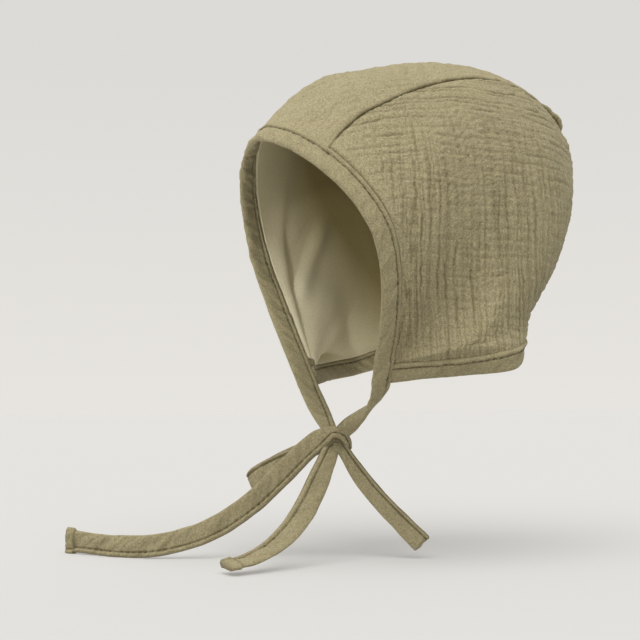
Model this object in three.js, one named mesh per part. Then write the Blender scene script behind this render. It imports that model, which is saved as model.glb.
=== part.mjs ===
// Baby bonnet in double gauze, tied in a bow. Millimetres, +Z up, the face opening towards -Y,
// the wearer's left at +X. The origin is the top of the crown's inside.
import * as THREE from 'three';

// Canopy: ribs fan out from the two jaw corners of the panels
const jawDrop = 142; // from the origin down to the jaw corners
const jawForward = 50; // and forward to them
const jawHalfGap = 34; // from the middle plane to a jaw corner
const reach = 160; // from the line through the jaw corners to the crown
const halfWidth = 62; // the head's half width, over the cloth
const stripHalf = 36; // half width of the centre panel

// Cloth
const clothWall = 1.0; // the panels' double gauze
const liningWall = 1.0;
const gap = 0.3; // between neighbouring pieces
const cornerRound = 1.5; // the panels start this far from the jaw corner
const liningCorner = 5; // and the lining this far

// Bindings: folded strips, each with a flange outside and one inside
const faceBand = 10.2; // width
const neckBand = 9.5;
const flange = 1.1; // wall of a flange
const foldWall = 1.6; // cloth at the fold, past the panel's hidden edge
const bandCorner = 0.5; // rounding of the section
const liningClear = 0.7; // from the lining's edge to the inner flange
const bandMeet = 0.9; // from the face band to the neck band's end
const mitre = 16; // the neck band squares up over this length from the face band
const faceFlare = 5; // degrees that the face band turns out from the panels
const neckFlare = -11; // degrees that the neck band turns in
const bandDrop = 9.5; // the face band runs on this far below the jaw corner
const slotEnds = 1; // and its slot ends this far below it

// Ties and bow
const knotDrop = 33; // from the jaw corners down to the knot's middle
const knotForward = 8; // and forward
const knotWidth = 12.5;
const knotHeight = 10;
const knotDepth = 11.5;
const tieWidth = 10;
const tieThick = 2.4;
const tailLongLength = 134;
const tailShortLength = 84;
const loopLeftLength = 54; // pressed flat
const loopRightLength = 45; // open
const loopLayer = 1.2; // wall of one layer of the pressed loop
const loopSlit = 0.7; // between its two layers
const loopTilt = 36; // degrees that the open loop leans over

// Fineness
const ribSamples = 160;
const panelRows = 24;
const sideColumns = 13;
const stripColumns = 10;
const strapStations = 15;

// One row for each rib, from the face edge over the crown to the neck edge. Every rib lies in
// a plane through both jaw corners. lean: its angle from straight forward, in degrees. rise:
// its length to the middle, a share of reach. wide: its half width, a share of halfWidth.
// widest: where that is, a share of the way up. arch: exponent of the part above, over 1
// pointed, under 1 square. bow: forward bulge, a share of reach. strip: the centre panel's
// half width, a share of stripHalf.
const ribTable = [
  { lean: 68, rise: 0.711, wide: 0.867, widest: 0.51, arch: 1.23, bow: -0.053, strip: 0.92 }, // face edge
  { lean: 83, rise: 0.821, wide: 0.895, widest: 0.50, arch: 1.18, bow: -0.012, strip: 1.01 }, // forehead
  { lean: 94, rise: 0.861, wide: 0.953, widest: 0.47, arch: 1.01, bow: 0.012, strip: 1.08 }, // fore crown
  { lean: 120, rise: 1.007, wide: 0.984, widest: 0.46, arch: 0.89, bow: 0.014, strip: 0.98 }, // crown
  { lean: 137, rise: 0.968, wide: 1.000, widest: 0.40, arch: 0.88, bow: 0.001, strip: 0.88 }, // back
  { lean: 158, rise: 0.602, wide: 1.010, widest: 0.32, arch: 0.96, bow: -0.004, strip: 0.85 }, // nape
  { lean: 167, rise: 0.488, wide: 1.015, widest: 0.51, arch: 1.02, bow: -0.021, strip: 0.82 }, // neck edge
];

// Soft folds that the cloth falls into: where each one is (a over the canopy from face to
// neck, q from the jaw corner up to the middle), how far it spreads there, and its depth in mm.
const foldTable = [
  { side: 1, a: 0.86, q: 0.30, spreadA: 0.10, spreadQ: 0.10, depth: -2.0 }, // pinch behind the left ear
  { side: 1, a: 0.62, q: 0.72, spreadA: 0.07, spreadQ: 0.10, depth: -1.2 }, // dip where the rear seam turns
  { side: -1, a: 0.16, q: 0.42, spreadA: 0.07, spreadQ: 0.20, depth: -1.6 }, // long fold inside the right cheek
  { side: -1, a: 0.34, q: 0.34, spreadA: 0.08, spreadQ: 0.22, depth: 1.4 },
];

const foldFade = 0.12; // share of the way in from an edge where the folds reach their depth

const colour = { cloth: 0xa59b76, side: 0x9c9270, lining: 0xb5aa84, strip: 0xa0966f };

const rad = THREE.MathUtils.degToRad;
const vec = (x, y, z) => new THREE.Vector3(x, y, z);
const mirrored = (p) => vec(-p.x, p.y, p.z);
const pivotY = -jawForward;
const pivotZ = -jawDrop;

// Value of a table's column at share t of the way down its rows, on a smooth curve
function follow(rows, column, t) {
  const x = THREE.MathUtils.clamp(t, 0, 1) * (rows.length - 1);
  const i = Math.min(Math.floor(x), rows.length - 2);
  const at = (k) => {
    if (k < 0) return 2 * rows[0][column] - rows[1][column];
    if (k >= rows.length) return 2 * rows[k - 1][column] - rows[k - 2][column];
    return rows[k][column];
  };
  const [p, q, r, s] = [at(i - 1), at(i), at(i + 1), at(i + 2)];
  const f = x - i;
  return 0.5 * (2 * q + (r - p) * f + (2 * p - 5 * q + 4 * r - s) * f * f
    + (3 * q - p - 3 * r + s) * f * f * f);
}

// The left half of the rib at a, from the jaw corner to the middle, with its running length
const ribStore = new Map();
function rib(a) {
  const key = a.toFixed(6);
  if (ribStore.has(key)) return ribStore.get(key);
  const get = (column) => follow(ribTable, column, a);
  const lean = rad(get('lean'));
  const rise = get('rise') * reach;
  const wide = get('wide') * halfWidth;
  const widest = get('widest');
  const arch = get('arch');
  const bow = get('bow') * reach;
  const points = [];
  const run = [0];
  for (let i = 0; i <= ribSamples; i++) {
    const turn = (i / ribSamples) * Math.PI - Math.PI / 2; // -90 at the corner, 0 widest, 90 the middle
    const low = turn < 0;
    const up = low ? widest * (1 + turn / (Math.PI / 2)) : widest + (1 - widest) * Math.sin(turn) ** arch;
    const x = low ? jawHalfGap + (wide - jawHalfGap) * Math.cos(turn) : wide * Math.abs(Math.cos(turn)) ** arch;
    const bulge = bow * Math.sin(Math.PI * up);
    points.push(vec(
      i === ribSamples ? 0 : x,
      pivotY - Math.cos(lean) * rise * up - bulge * Math.sin(lean),
      pivotZ + Math.sin(lean) * rise * up - bulge * Math.cos(lean),
    ));
    if (i > 0) run.push(run[i - 1] + points[i].distanceTo(points[i - 1]));
  }
  const made = { points, run, length: run[ribSamples], strip: get('strip') * stripHalf };
  ribStore.set(key, made);
  return made;
}

// Point at share q of the rib's half length from the corner
function onRib(r, q) {
  const want = THREE.MathUtils.clamp(q, 0, 1) * r.length;
  let i = 1;
  while (i < ribSamples && r.run[i] < want) i++;
  const f = (want - r.run[i - 1]) / (r.run[i] - r.run[i - 1]);
  return r.points[i - 1].clone().lerp(r.points[i], f);
}

// Share q where the rib's half width has shrunk to x, above its widest place
function shareAtWidth(r, x) {
  let i = ribSamples;
  while (i > ribSamples / 2 && r.points[i].x < x) i--;
  const f = (r.points[i].x - x) / (r.points[i].x - r.points[i + 1].x);
  return (r.run[i] + f * (r.run[i + 1] - r.run[i])) / r.length;
}

// Outward normal of the smooth canopy, left half
const probe = 0.004;
const cornerShare = 0.13; // below this share of a rib the cloth keeps one direction
function normalAt(a, q) {
  const inner = THREE.MathUtils.clamp(q, cornerShare, 1 - probe);
  const a0 = Math.max(0, a - probe);
  const a1 = Math.min(1, a + probe);
  const back = onRib(rib(a1), inner).sub(onRib(rib(a0), inner));
  const up = onRib(rib(a), inner + probe).sub(onRib(rib(a), inner - probe));
  const n = back.cross(up).normalize();
  if (q > 1 - 2 * probe) n.setX(0).normalize();
  return n;
}

// Point of the cloth: side 1 left or -1 right, n out from the panels' outer face
function cloth(side, a, q, n) {
  let push = n;
  const free = THREE.MathUtils.smoothstep(Math.min(a, 1 - a), 0, foldFade); // the bindings hold the edges
  for (const f of foldTable) {
    if (f.side !== side) continue;
    push += free * f.depth * Math.exp(-(((a - f.a) / f.spreadA) ** 2) - ((q - f.q) / f.spreadQ) ** 2);
  }
  const p = onRib(rib(a), q).addScaledVector(normalAt(a, q), push);
  return side < 0 ? mirrored(p) : p;
}

// Frame along the face edge (a = 0) or neck edge (a = 1), left half: the edge point, the way
// that the hidden edge runs on (out), and the outward normal (up). Below the corner the face
// frame runs straight on.
function edgeFrame(a, q) {
  const r = rib(a);
  const inside = a === 0 ? probe : 1 - probe;
  const safe = THREE.MathUtils.clamp(q, cornerShare, 1 - probe);
  const along = onRib(r, safe + probe).sub(onRib(r, safe - probe)).normalize();
  if (q > 1 - 2 * probe) along.set(-1, 0, 0);
  const out = onRib(r, safe).sub(onRib(rib(inside), safe));
  out.addScaledVector(along, -out.dot(along)).normalize();
  out.applyAxisAngle(along, rad(a === 0 ? faceFlare : -neckFlare));
  if (a === 1 && q * r.length < mitre) {
    const square = THREE.MathUtils.smoothstep(q * r.length, 0, mitre);
    out.lerp(edgeFrame(0, 0).along.negate(), 1 - square).normalize();
  }
  const up = (a === 0 ? along.clone().cross(out) : out.clone().cross(along)).normalize();
  const p = onRib(r, q);
  if (q < 0) p.addScaledVector(along, q * r.length);
  return { p, out, up, along };
}

// Closed solid from a list of points and triangles, turned so that its faces point out
function solid(points, faces) {
  let volume = 0;
  for (const [a, b, c] of faces) {
    volume += points[a].dot(points[b].clone().cross(points[c]));
  }
  const index = volume > 0 ? faces.flat() : faces.flatMap(([a, b, c]) => [a, c, b]);
  const geometry = new THREE.BufferGeometry();
  geometry.setAttribute('position', new THREE.Float32BufferAttribute(points.flatMap((p) => [p.x, p.y, p.z]), 3));
  geometry.setIndex(index);
  geometry.computeVertexNormals();
  return geometry;
}

// Two triangles of a four-sided face, split along its shorter diagonal
function quad(points, a, b, c, d) {
  const short = points[a].distanceTo(points[c]) < points[b].distanceTo(points[d]);
  return short ? [[a, b, c], [a, c, d]] : [[a, b, d], [b, c, d]];
}

// Sheet with a wall: two grids of points of the same size, joined round their four sides
function sheet(outer, inner) {
  const rows = outer.length;
  const columns = outer[0].length;
  const points = [...outer.flat(), ...inner.flat()];
  const at = (layer, i, j) => layer * rows * columns + i * columns + j;
  const faces = [];
  const add = (a, b, c, d) => faces.push(...quad(points, a, b, c, d));
  for (let i = 0; i < rows - 1; i++) {
    for (let j = 0; j < columns - 1; j++) {
      add(at(0, i, j), at(0, i, j + 1), at(0, i + 1, j + 1), at(0, i + 1, j));
      add(at(1, i, j), at(1, i + 1, j), at(1, i + 1, j + 1), at(1, i, j + 1));
    }
  }
  for (let i = 0; i < rows - 1; i++) {
    add(at(0, i + 1, 0), at(1, i + 1, 0), at(1, i, 0), at(0, i, 0));
    add(at(0, i, columns - 1), at(1, i, columns - 1), at(1, i + 1, columns - 1), at(0, i + 1, columns - 1));
  }
  for (let j = 0; j < columns - 1; j++) {
    add(at(0, 0, j), at(1, 0, j), at(1, 0, j + 1), at(0, 0, j + 1));
    add(at(0, rows - 1, j + 1), at(1, rows - 1, j + 1), at(1, rows - 1, j), at(0, rows - 1, j));
  }
  return solid(points, faces);
}

// Solid through a row of closed sections with the same number of points, capped at both ends
function loft(sections) {
  const n = sections[0].length;
  const points = sections.flat();
  const faces = [];
  for (let i = 0; i < sections.length - 1; i++) {
    for (let j = 0; j < n; j++) {
      const k = (j + 1) % n;
      faces.push(...quad(points, i * n + j, i * n + k, (i + 1) * n + k, (i + 1) * n + j));
    }
  }
  const middle = (s) => s.reduce((sum, p) => sum.add(p), vec(0, 0, 0)).divideScalar(n);
  const first = points.push(middle(sections[0])) - 1;
  const last = points.push(middle(sections.at(-1))) - 1;
  const end = (sections.length - 1) * n;
  for (let j = 0; j < n; j++) {
    const k = (j + 1) % n;
    faces.push([first, k, j], [last, end + j, end + k]);
  }
  return solid(points, faces);
}

// Rows of a panel from its face edge to its neck edge, with the hidden edges that the
// bindings hold. column(q of the row) gives the shares of the row's points.
const hiddenFace = faceBand - foldWall - gap;
const hiddenNeck = neckBand - foldWall - gap;
function panelGrid(side, columnsOf, depth) {
  const right = (q) => side < 0 || q > 1;
  const line = (a, n) => columnsOf(a).map((q) => cloth(right(q) ? -1 : 1, a, q > 1 ? 2 - q : q, n));
  const hidden = (a, d) => columnsOf(a).map((q) => {
    const f = edgeFrame(a, q > 1 ? 2 - q : q);
    const p = f.p.addScaledVector(f.out, d).addScaledVector(f.up, depth);
    return right(q) ? mirrored(p) : p;
  });
  const grid = [hidden(0, hiddenFace)];
  for (let i = 0; i <= panelRows; i++) grid.push(line(i / panelRows, depth));
  grid.push(hidden(1, hiddenNeck));
  return grid;
}

const spread = (from, to, steps) => Array.from({ length: steps + 1 }, (_, i) => from + (to - from) * i / steps);

// Shares of a rib's points, from near the left jaw corner over the middle (1) to the right one
// (up to 2). Panels, lining and bindings share them, so that their faces stay parallel.
function ribShares(a) {
  const r = rib(a);
  const seam = shareAtWidth(r, r.strip);
  const half = spread(cornerRound / r.length, seam, sideColumns);
  return [...half, ...spread(seam, 2 - seam, stripColumns).slice(1, -1), ...half.map((q) => 2 - q).reverse()];
}

function sidePanel(side) {
  const columns = (a) => {
    const r = rib(a);
    return spread(cornerRound / r.length, shareAtWidth(r, r.strip + gap / 2), sideColumns);
  };
  return sheet(panelGrid(side, columns, 0), panelGrid(side, columns, -clothWall));
}

function centrePanel() {
  const columns = (a) => {
    const q = shareAtWidth(rib(a), rib(a).strip - gap / 2);
    return spread(q, 2 - q, stripColumns);
  };
  return sheet(panelGrid(1, columns, 0), panelGrid(1, columns, -clothWall));
}

function lining() {
  const face = -clothWall - gap;
  const shares = (a) => {
    const least = liningCorner / rib(a).length;
    return ribShares(a).map((q) => THREE.MathUtils.clamp(q, least, 2 - least));
  };
  const layer = (n) => spread(0, 1, panelRows).map((a) => shares(a).map((q) => (
    cloth(q > 1 ? -1 : 1, a, q > 1 ? 2 - q : q, n))));
  return sheet(layer(face), layer(face - liningWall));
}

// Section of a binding as pairs of d, out from the panel's edge, and n, up from the middle of
// the panel's wall. Its slot holds the hidden edge, and closes where there is none.
function bandSection(width, slot) {
  const hold = clothWall / 2 + gap;
  const full = hold + flange;
  const r = bandCorner;
  return [
    [0, hold], [r / 2, full - r], [r * 2, full], [width - 4 * r, full], [width - r, full - 2 * r],
    [width, 0], [width - r, 2 * r - full], [width - 4 * r, -full], [liningClear + r * 2, -full],
    [liningClear + r / 2, r - full], [liningClear, -hold], [slot, -hold], [slot, hold],
  ];
}

function placed(side, f, d, n) {
  const p = f.p.clone().addScaledVector(f.out, d).addScaledVector(f.up, n - clothWall / 2);
  return side < 0 ? mirrored(p) : p;
}

// Binding along an edge, with stations at the edge's shares and at those before the corner
function binding(a, width, before, slotAt) {
  const shares = [...before, ...ribShares(a), ...before.map((q) => 2 - q).reverse()];
  return loft(shares.map((share) => {
    const q = share > 1 ? 2 - share : share;
    const f = edgeFrame(a, q);
    return bandSection(width, slotAt(q)).map(([d, n]) => placed(share > 1 ? -1 : 1, f, d, n));
  }));
}

function faceBinding() {
  const long = rib(0).length;
  const before = [-bandDrop / long, -slotEnds / long, 0];
  return binding(0, faceBand, before, (q) => (q < 0 ? liningClear + gap : faceBand - foldWall));
}

function neckBinding() {
  return binding(1, neckBand, [bandMeet / rib(1).length], () => neckBand - foldWall);
}

// Flat strap along a path of stations { p, axis, wide, thick }; axis is the way of its width
function strap(stations) {
  const corners = [[0.5, 0.2], [0.38, 0.5], [-0.38, 0.5], [-0.5, 0.2], [-0.5, -0.2], [-0.38, -0.5], [0.38, -0.5], [0.5, -0.2]];
  return loft(stations.map((s, i) => {
    const before = stations[Math.max(0, i - 1)].p;
    const after = stations[Math.min(stations.length - 1, i + 1)].p;
    const along = after.clone().sub(before).normalize();
    const across = s.axis.clone().addScaledVector(along, -s.axis.dot(along)).normalize();
    const face = along.clone().cross(across);
    return corners.map(([w, t]) => s.p.clone().addScaledVector(across, w * s.wide).addScaledVector(face, t * s.thick));
  }));
}

// Directions of a strap that runs along a heading (degrees from +X towards +Y) and a dip below
// level: its own way, upright across it, and level across it
function strapAxes(heading, dip) {
  const [h, d] = [rad(heading), rad(dip)];
  const way = vec(Math.cos(h) * Math.cos(d), Math.sin(h) * Math.cos(d), -Math.sin(d));
  const upright = vec(Math.cos(h) * Math.sin(d), Math.sin(h) * Math.sin(d), Math.cos(d));
  return { way, upright, level: way.clone().cross(upright) };
}

const knotMiddle = vec(0, pivotY - knotForward, pivotZ - knotDrop);
const fromKnot = (x, y, z) => knotMiddle.clone().add(vec(x * knotDepth, y * knotWidth, z * knotHeight));

// Strap that walks from a start along the headings and dips of its table, for its length.
// turn: degrees from standing on its edge to lying flat. wide, thick: shares of the tie's.
function walk(start, length, table) {
  const stations = [];
  const p = start.clone();
  for (let i = 0; i <= strapStations; i++) {
    const t = i / strapStations;
    const { way, upright, level } = strapAxes(follow(table, 'heading', t), follow(table, 'dip', t));
    if (i > 0) p.addScaledVector(way, length / strapStations);
    const turn = rad(follow(table, 'turn', t));
    stations.push({
      p: p.clone(),
      axis: upright.multiplyScalar(Math.cos(turn)).addScaledVector(level, Math.sin(turn)),
      wide: tieWidth * follow(table, 'wide', t),
      thick: tieThick * follow(table, 'thick', t),
    });
  }
  return stations;
}

const tailLongTable = [
  { heading: -125, dip: 40, turn: 0, wide: 0.6, thick: 1.2 },
  { heading: -126, dip: 48, turn: 0, wide: 1, thick: 1 },
  { heading: -125, dip: 44, turn: 0, wide: 1, thick: 1 },
  { heading: -122, dip: 34, turn: 0, wide: 1, thick: 1 },
  { heading: -120, dip: 21, turn: 0, wide: 1, thick: 1 },
  { heading: -128, dip: 10, turn: 0, wide: 1, thick: 1 },
  { heading: -144, dip: 1, turn: 0, wide: 1, thick: 1 },
  { heading: -153, dip: -1, turn: 0, wide: 0.96, thick: 1 },
  { heading: -155, dip: 0, turn: 0, wide: 1.04, thick: 1.3 },
];

const tailShortTable = [
  { heading: -66, dip: 56, turn: 40, wide: 0.6, thick: 1.2 },
  { heading: -62, dip: 49, turn: 45, wide: 1, thick: 1 },
  { heading: -60, dip: 43, turn: 49, wide: 1.02, thick: 1 },
  { heading: -66, dip: 36, turn: 58, wide: 1, thick: 1 },
  { heading: -73, dip: 27, turn: 67, wide: 1, thick: 1 },
  { heading: -82, dip: 17, turn: 76, wide: 0.96, thick: 1 },
  { heading: -92, dip: 4, turn: 84, wide: 0.96, thick: 1.3 },
];

// The pressed loop: out along its heading and back on itself, a layer apart
const loopLeftTable = [
  { heading: 62, dip: 60, turn: 0, wide: 0.6, thick: 1 },
  { heading: 55, dip: 55, turn: 0, wide: 0.92, thick: 1 },
  { heading: 54, dip: 48, turn: 0, wide: 1, thick: 1 },
  { heading: 55, dip: 45, turn: 0, wide: 1, thick: 1 },
  { heading: 54, dip: 46, turn: 0, wide: 0.98, thick: 1 },
];

function loopLeft() {
  const out = walk(fromKnot(0.24, 0.2, -0.46), loopLeftLength, loopLeftTable);
  const apart = (loopLayer + loopSlit) / 2;
  const layer = (s, i, sign) => {
    const along = out[Math.min(i + 1, out.length - 1)].p.clone().sub(out[Math.max(i - 1, 0)].p).normalize();
    const face = along.cross(s.axis).normalize();
    return { ...s, p: s.p.clone().addScaledVector(face, sign * apart), thick: loopLayer };
  };
  const last = out.at(-1);
  const tip = { ...last, p: last.p.clone().addScaledVector(last.p.clone().sub(out.at(-2).p).normalize(), apart), thick: loopLayer };
  return strap([...out.map((s, i) => layer(s, i, 1)), tip, ...out.map((s, i) => layer(s, i, -1)).reverse()]);
}

// The open loop, in its own directions from the knot: out along its heading, lift across it and
// side level across it, as shares of its length
const loopRightTable = [
  { out: 0.135, lift: 0.03, side: -0.08, wide: 0.55 },
  { out: 0.40, lift: 0.09, side: -0.09, wide: 0.9 },
  { out: 0.65, lift: 0.10, side: -0.12, wide: 1 },
  { out: 0.87, lift: 0.06, side: -0.10, wide: 1 },
  { out: 1.00, lift: 0.00, side: -0.01, wide: 1 },
  { out: 0.93, lift: -0.13, side: 0.09, wide: 1 },
  { out: 0.74, lift: -0.17, side: 0.08, wide: 1 },
  { out: 0.48, lift: -0.17, side: 0.05, wide: 0.9 },
  { out: 0.27, lift: -0.13, side: 0.01, wide: 0.7 },
  { out: 0.14, lift: -0.085, side: -0.02, wide: 0.5 },
];

function loopRight() {
  const { way, upright, level } = strapAxes(-139, 25);
  const tilt = rad(loopTilt);
  const axis = level.clone().multiplyScalar(-Math.cos(tilt)).addScaledVector(upright, Math.sin(tilt));
  const stations = spread(0, 1, strapStations * 2).map((t) => {
    const get = (column) => follow(loopRightTable, column, t);
    const p = knotMiddle.clone().addScaledVector(way, get('out') * loopRightLength)
      .addScaledVector(upright, get('lift') * loopRightLength)
      .addScaledVector(level, -get('side') * loopRightLength);
    return { p, axis, wide: tieWidth * get('wide'), thick: loopLayer };
  });
  return strap(stations);
}

// A tie runs from the face band's lower end to the knot. twist: degrees about its own way
const tieTable = {
  left: [
    { twist: 0, wide: 0.98, thick: 1.3 },
    { twist: -6, wide: 0.84, thick: 1.2 },
    { twist: -24, wide: 0.6, thick: 1.2 },
    { twist: -50, wide: 0.48, thick: 1.2 },
    { twist: -74, wide: 0.5, thick: 1.2 },
    { twist: -92, wide: 0.55, thick: 1.2 },
  ],
  right: [
    { twist: 0, wide: 0.98, thick: 1.3 },
    { twist: 0, wide: 0.98, thick: 1.2 },
    { twist: 4, wide: 0.94, thick: 1.2 },
    { twist: 8, wide: 0.86, thick: 1.2 },
    { twist: 10, wide: 0.72, thick: 1.2 },
    { twist: 10, wide: 0.55, thick: 1.2 },
  ],
};

function tie(side) {
  const f = edgeFrame(0, -(bandDrop + 2 * gap) / rib(0).length);
  const start = placed(side, f, faceBand / 2, 0);
  const [along, out] = side < 0 ? [mirrored(f.along), mirrored(f.out)] : [f.along, f.out];
  const end = fromKnot(side * 0.34, 0.07, 0.2);
  const lead = start.distanceTo(end) / 3;
  const path = new THREE.CubicBezierCurve3(
    start, start.clone().addScaledVector(along, -lead), end.clone().lerp(start, 0.3), end);
  const table = tieTable[side < 0 ? 'right' : 'left'];
  return strap(spread(0, 1, strapStations / 2).map((t) => ({
    p: path.getPoint(t),
    axis: out.clone().applyAxisAngle(path.getTangent(t), rad(follow(table, 'twist', t))),
    wide: tieWidth * follow(table, 'wide', t),
    thick: tieThick * follow(table, 'thick', t),
  })));
}

// The knot: a lump of wound strap, fattest in the middle
const knotTable = [
  { along: -0.5, size: 0.3 }, { along: -0.42, size: 0.66 }, { along: -0.25, size: 0.92 }, { along: 0, size: 1 },
  { along: 0.25, size: 0.92 }, { along: 0.42, size: 0.66 }, { along: 0.5, size: 0.3 },
];

function knot() {
  const sides = 12;
  return loft(knotTable.map(({ along, size }) => spread(0, 1, sides).slice(0, -1).map((t) => {
    const turn = t * 2 * Math.PI;
    return fromKnot(size * Math.cos(turn) / 2, along, size * Math.sin(turn) / 2);
  })));
}

function mesh(name, geometry, color) {
  const made = new THREE.Mesh(geometry, new THREE.MeshStandardMaterial({ color, roughness: 0.95, metalness: 0 }));
  made.name = name;
  return made;
}

const bonnet = new THREE.Group();
bonnet.add(
  mesh('centre_panel', centrePanel(), colour.cloth),
  mesh('side_panel_left', sidePanel(1), colour.side),
  mesh('side_panel_right', sidePanel(-1), colour.side),
  mesh('lining', lining(), colour.lining),
  mesh('face_binding', faceBinding(), colour.strip),
  mesh('neck_binding', neckBinding(), colour.strip),
  mesh('tie_left', tie(1), colour.strip),
  mesh('tie_right', tie(-1), colour.strip),
  mesh('bow_knot', knot(), colour.strip),
  mesh('loop_left', loopLeft(), colour.strip),
  mesh('loop_right', loopRight(), colour.strip),
  mesh('tail_long', strap(walk(fromKnot(-0.1, -0.64, -0.08), tailLongLength, tailLongTable)), colour.strip),
  mesh('tail_short', strap(walk(fromKnot(0.15, -0.26, -0.47), tailShortLength, tailShortTable)), colour.strip),
);

export default bonnet;
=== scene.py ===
# Baby bonnet in crinkled double gauze, lined, bound and tied in a bow.
# Lengths in the tables are millimetres; every object is made in metres.
import math
import bpy
import numpy as np
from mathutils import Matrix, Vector


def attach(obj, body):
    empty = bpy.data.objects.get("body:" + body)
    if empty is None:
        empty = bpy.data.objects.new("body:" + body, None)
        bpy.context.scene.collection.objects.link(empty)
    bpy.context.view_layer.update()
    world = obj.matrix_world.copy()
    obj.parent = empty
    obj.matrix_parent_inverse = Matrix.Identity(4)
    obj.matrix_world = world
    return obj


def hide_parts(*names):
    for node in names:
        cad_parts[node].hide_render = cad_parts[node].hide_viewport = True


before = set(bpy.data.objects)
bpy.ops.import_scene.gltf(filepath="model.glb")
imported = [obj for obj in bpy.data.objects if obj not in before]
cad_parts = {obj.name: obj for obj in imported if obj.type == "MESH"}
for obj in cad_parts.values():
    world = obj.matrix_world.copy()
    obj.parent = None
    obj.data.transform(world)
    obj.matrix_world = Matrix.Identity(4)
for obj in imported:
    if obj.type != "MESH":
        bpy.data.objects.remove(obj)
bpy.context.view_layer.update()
print("frame loaded")

mm = 0.001

# Camera and studio

cameraView = {
    "place": (0.4727, -0.3612, -0.1590),
    "azimuth": 58.0,
    "elevation": -3.8,
    "lens": 70.0,
}

studio = {
    "floorHeight": -0.2284,
    "floorSize": 6.0,
    "floorColour": (0.40, 0.396, 0.389),
    "floorGlow": (0.238, 0.234, 0.228),
    "worldLow": (0.798, 0.775, 0.738),
    "worldHigh": (0.722, 0.706, 0.678),
    "worldHighAt": 0.26,
    "worldStrength": 1.0,
    "darkSide": (0.90, 0.43, -0.05),
    "darkStrength": 0.26,
    "darkFrom": -0.15,
    "darkTo": 0.75,
}

keySun = {
    "azimuth": 58.0,
    "elevation": 64.0,
    "power": 2.75,
    "spread": 68.0,
    "colour": (1, 0.99, 0.97),
}

# a small lamp from the front that reaches the far cheek's lining through the face opening
insideSpot = {
    "azimuth": 31.0,
    "elevation": 4.0,
    "onto": (-0.052, -0.043, -0.098),
    "away": 0.7,
    "power": 14.0,
    "spread": 7.5,
    "blend": 0.9,
    "softness": 0.05,
}


def aim(azimuth, elevation):
    a, e = math.radians(azimuth), math.radians(elevation)
    return Vector((math.sin(a) * math.cos(e), -math.cos(a) * math.cos(e), math.sin(e)))


def addObject(name, data):
    made = bpy.data.objects.new(name, data)
    bpy.context.scene.collection.objects.link(made)
    return made


def faceBack(made, way):
    # turns a camera or lamp so that it looks against the way
    made.rotation_mode = "QUATERNION"
    made.rotation_quaternion = (-way).to_track_quat("-Z", "Y")


def addNode(tree, kind, settings=None, values=None):
    node = tree.nodes.new(kind)
    for name, value in (settings or {}).items():
        setattr(node, name, value)
    setInputs(node, values or {})
    return node


def setInputs(node, values):
    for name, value in values.items():
        node.inputs[name].default_value = value


def wired(tree):
    # links one node's output to another's input, by name or number
    def wire(source, output, target, entry):
        tree.links.new(source.outputs[output], target.inputs[entry])
    return wire


def makeCamera():
    data = bpy.data.cameras.new("camera")
    data.lens = cameraView["lens"]
    data.sensor_width = 36.0
    data.clip_start = 0.01
    data.clip_end = 20.0
    camera = addObject("camera", data)
    camera.location = cameraView["place"]
    faceBack(camera, aim(cameraView["azimuth"], cameraView["elevation"]))
    bpy.context.scene.camera = camera


def makeWorld():
    world = bpy.data.worlds.new("studio")
    bpy.context.scene.world = world
    world.use_nodes = True
    tree = world.node_tree
    wire = wired(tree)
    backdrop = tree.nodes["Background"]
    # the room is darker behind the nape, away from the window
    place = addNode(tree, "ShaderNodeTexCoord")
    away = addNode(tree, "ShaderNodeVectorMath", {"operation": "DOT_PRODUCT"}, {1: studio["darkSide"]})
    wire(place, "Generated", away, 0)
    fade = addNode(tree, "ShaderNodeMapRange", {"interpolation_type": "SMOOTHSTEP"}, {
        "From Min": studio["darkFrom"], "From Max": studio["darkTo"],
        "To Min": studio["worldStrength"], "To Max": studio["darkStrength"]})
    wire(away, "Value", fade, "Value")
    wire(fade, "Result", backdrop, "Strength")
    # the backdrop's paper is a little darker towards its top
    split = addNode(tree, "ShaderNodeSeparateXYZ")
    wire(place, "Generated", split, 0)
    climb = addNode(tree, "ShaderNodeMapRange", None, {"From Min": 0.0, "From Max": studio["worldHighAt"]})
    wire(split, "Z", climb, "Value")
    tint = addNode(tree, "ShaderNodeMix", {"data_type": "RGBA"}, {
        "A": (*studio["worldLow"], 1), "B": (*studio["worldHigh"], 1)})
    wire(climb, "Result", tint, "Factor")
    wire(tint, "Result", backdrop, "Color")


def makeFloor():
    size, height = studio["floorSize"], studio["floorHeight"]
    mesh = bpy.data.meshes.new("floor")
    corners = [(-size, -size, height), (size, -size, height), (size, size, height), (-size, size, height)]
    mesh.from_pydata(corners, [], [(0, 1, 2, 3)])
    floor = addObject("floor", mesh)
    paint = bpy.data.materials.new("floorPaper")
    paint.use_nodes = True
    setInputs(paint.node_tree.nodes["Principled BSDF"], {
        "Base Color": (*studio["floorColour"], 1), "Roughness": 0.9, "Specular IOR Level": 0.1,
        "Emission Color": (*studio["floorGlow"], 1), "Emission Strength": 1.0})
    mesh.materials.append(paint)


def makeLamps():
    data = bpy.data.lights.new("keySun", "SUN")
    data.angle = math.radians(keySun["spread"])
    data.energy = keySun["power"]
    data.color = keySun["colour"]
    faceBack(addObject("keySun", data), aim(keySun["azimuth"], keySun["elevation"]))
    data = bpy.data.lights.new("insideSpot", "SPOT")
    data.energy = insideSpot["power"]
    data.spot_size = math.radians(insideSpot["spread"])
    data.spot_blend = insideSpot["blend"]
    data.shadow_soft_size = insideSpot["softness"]
    lamp = addObject("insideSpot", data)
    way = aim(insideSpot["azimuth"], insideSpot["elevation"])
    lamp.location = Vector(insideSpot["onto"]) + way * insideSpot["away"]
    faceBack(lamp, way)
    lamp.visible_camera = False


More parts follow.
